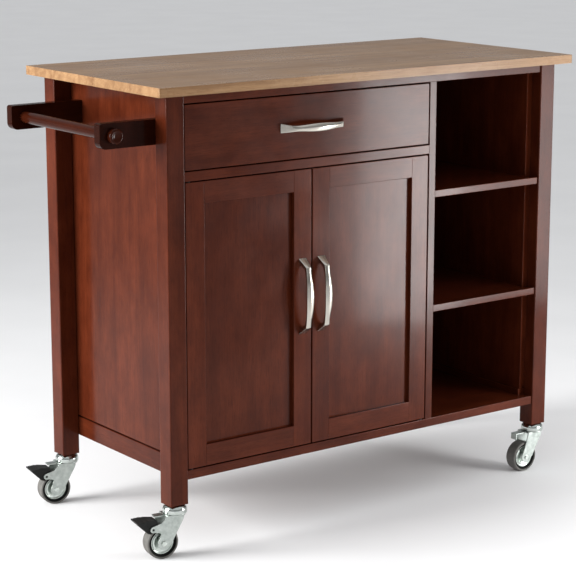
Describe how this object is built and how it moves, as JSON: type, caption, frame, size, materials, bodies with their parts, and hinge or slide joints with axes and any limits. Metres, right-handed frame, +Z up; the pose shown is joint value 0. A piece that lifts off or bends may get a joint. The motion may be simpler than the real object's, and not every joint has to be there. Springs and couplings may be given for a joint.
{
  "type": "kitchen island cart",
  "caption": "Rolling kitchen island with an overhanging hardwood top, a drawer, hinged doors, open shelves, a side towel holder and swivel casters with brakes.",
  "frame": {"origin": "on the floor under the centre of the overall box, towel holder and pulls included", "axes": "+X to the right along the worktop seen from the front, +Y from the front to the back, +Z up"},
  "size_m": [1.0874, 0.4824, 0.88],
  "materials": {
    "worktop_wood": "clear satin lacquer over light hardwood",
    "stained_wood": "dark walnut stain under semi-gloss lacquer",
    "drawer_wood": "bare light wood",
    "satin_nickel": "satin nickel plate",
    "zinc_steel": "bright zinc plate",
    "grey_rubber": "grey rubber tread with darker side walls",
    "black_plastic": "black moulded plastic"
  },
  "bodies": {
    "cabinet": {"worktop": "worktop_wood", "leg_front_left": "stained_wood", "leg_front_right": "stained_wood", "leg_back_left": "stained_wood", "leg_back_right": "stained_wood", "front_apron": "stained_wood", "back_top_rail": "stained_wood", "mid_rail": "stained_wood", "bottom_board": "stained_wood", "divider": "stained_wood", "side_panel_left": "stained_wood", "side_panel_right": "stained_wood", "low_rails": "stained_wood", "back_panel": "stained_wood", "upper_open_shelf": "stained_wood", "lower_open_shelf": "stained_wood", "cabinet_shelf": "stained_wood", "shelf_pins": "zinc_steel", "cabinet_runners": "zinc_steel", "door_catches": "black_plastic", "frame_screws": "zinc_steel", "door_pivots": "zinc_steel", "towel_arm_front": "stained_wood", "towel_arm_back": "stained_wood", "caster_stems": "zinc_steel"},
    "towel_rod": {"towel_rod": "stained_wood"},
    "drawer": {"drawer_front": "stained_wood", "drawer_sides": "drawer_wood", "drawer_back": "drawer_wood", "drawer_bottom": "drawer_wood", "drawer_pull": "satin_nickel", "drawer_runners": "zinc_steel"},
    "door_left": {"door_left_stiles": "stained_wood", "door_left_rails": "stained_wood", "door_left_panel": "stained_wood", "door_left_pull": "satin_nickel", "door_left_strike": "zinc_steel"},
    "door_right": {"door_right_stiles": "stained_wood", "door_right_rails": "stained_wood", "door_right_panel": "stained_wood", "door_right_pull": "satin_nickel", "door_right_strike": "zinc_steel"},
    "swivel_fl": {"caster_fl_fork": "zinc_steel", "caster_fl_axle": "zinc_steel"},
    "wheel_fl": {"caster_fl_hub": "zinc_steel", "caster_fl_tyre": "grey_rubber"},
    "pedal_fl": {"caster_fl_pedal": "black_plastic"},
    "swivel_fr": {"caster_fr_fork": "zinc_steel", "caster_fr_axle": "zinc_steel"},
    "wheel_fr": {"caster_fr_hub": "zinc_steel", "caster_fr_tyre": "grey_rubber"},
    "swivel_bl": {"caster_bl_fork": "zinc_steel", "caster_bl_axle": "zinc_steel"},
    "wheel_bl": {"caster_bl_hub": "zinc_steel", "caster_bl_tyre": "grey_rubber"},
    "pedal_bl": {"caster_bl_pedal": "black_plastic"},
    "swivel_br": {"caster_br_fork": "zinc_steel", "caster_br_axle": "zinc_steel"},
    "wheel_br": {"caster_br_hub": "zinc_steel", "caster_br_tyre": "grey_rubber"}
  },
  "joints": [
    {"name": "drawer_slide", "type": "slide", "parent": "cabinet", "child": "drawer", "axis": [0, -1, 0], "range_m": [0, 0.3]},
    {"name": "door_left_hinge", "type": "hinge", "parent": "cabinet", "child": "door_left", "pos_m": [-0.38025, -0.20675, 0.4345], "axis": [0, 0, -1], "range_deg": [0, 110]},
    {"name": "door_right_hinge", "type": "hinge", "parent": "cabinet", "child": "door_right", "pos_m": [0.17475, -0.20675, 0.4345], "axis": [0, 0, 1], "range_deg": [0, 110]},
    {"name": "towel_rod_slide", "type": "slide", "parent": "cabinet", "child": "towel_rod", "axis": [0, -1, 0], "range_m": [0, 0.3]},
    {"name": "swivel_fl_turn", "type": "hinge", "parent": "cabinet", "child": "swivel_fl", "pos_m": [-0.40975, -0.19575, 0.084], "axis": [0, 0, 1], "continuous": true},
    {"name": "wheel_fl_spin", "type": "hinge", "parent": "swivel_fl", "child": "wheel_fl", "pos_m": [-0.43884, -0.19088, 0.0315], "axis": [0.165, 0.9863, 0], "continuous": true},
    {"name": "pedal_fl_release", "type": "hinge", "parent": "swivel_fl", "child": "pedal_fl", "pos_m": [-0.45906, -0.1875, 0.061], "axis": [0.165, 0.9863, 0], "range_deg": [0, 12]},
    {"name": "swivel_fr_turn", "type": "hinge", "parent": "cabinet", "child": "swivel_fr", "pos_m": [0.49725, -0.19575, 0.084], "axis": [0, 0, 1], "continuous": true},
    {"name": "wheel_fr_spin", "type": "hinge", "parent": "swivel_fr", "child": "wheel_fr", "pos_m": [0.46775, -0.19575, 0.0315], "axis": [0, 1, 0], "continuous": true},
    {"name": "swivel_bl_turn", "type": "hinge", "parent": "cabinet", "child": "swivel_bl", "pos_m": [-0.40975, 0.20025, 0.084], "axis": [0, 0, 1], "continuous": true},
    {"name": "wheel_bl_spin", "type": "hinge", "parent": "swivel_bl", "child": "wheel_bl", "pos_m": [-0.43884, 0.20512, 0.0315], "axis": [0.165, 0.9863, 0], "continuous": true},
    {"name": "pedal_bl_release", "type": "hinge", "parent": "swivel_bl", "child": "pedal_bl", "pos_m": [-0.45906, 0.2085, 0.061], "axis": [0.165, 0.9863, 0], "range_deg": [0, 12]},
    {"name": "swivel_br_turn", "type": "hinge", "parent": "cabinet", "child": "swivel_br", "pos_m": [0.49725, 0.20025, 0.084], "axis": [0, 0, 1], "continuous": true},
    {"name": "wheel_br_spin", "type": "hinge", "parent": "swivel_br", "child": "wheel_br", "pos_m": [0.46775, 0.20025, 0.0315], "axis": [0, 1, 0], "continuous": true}
  ]
}
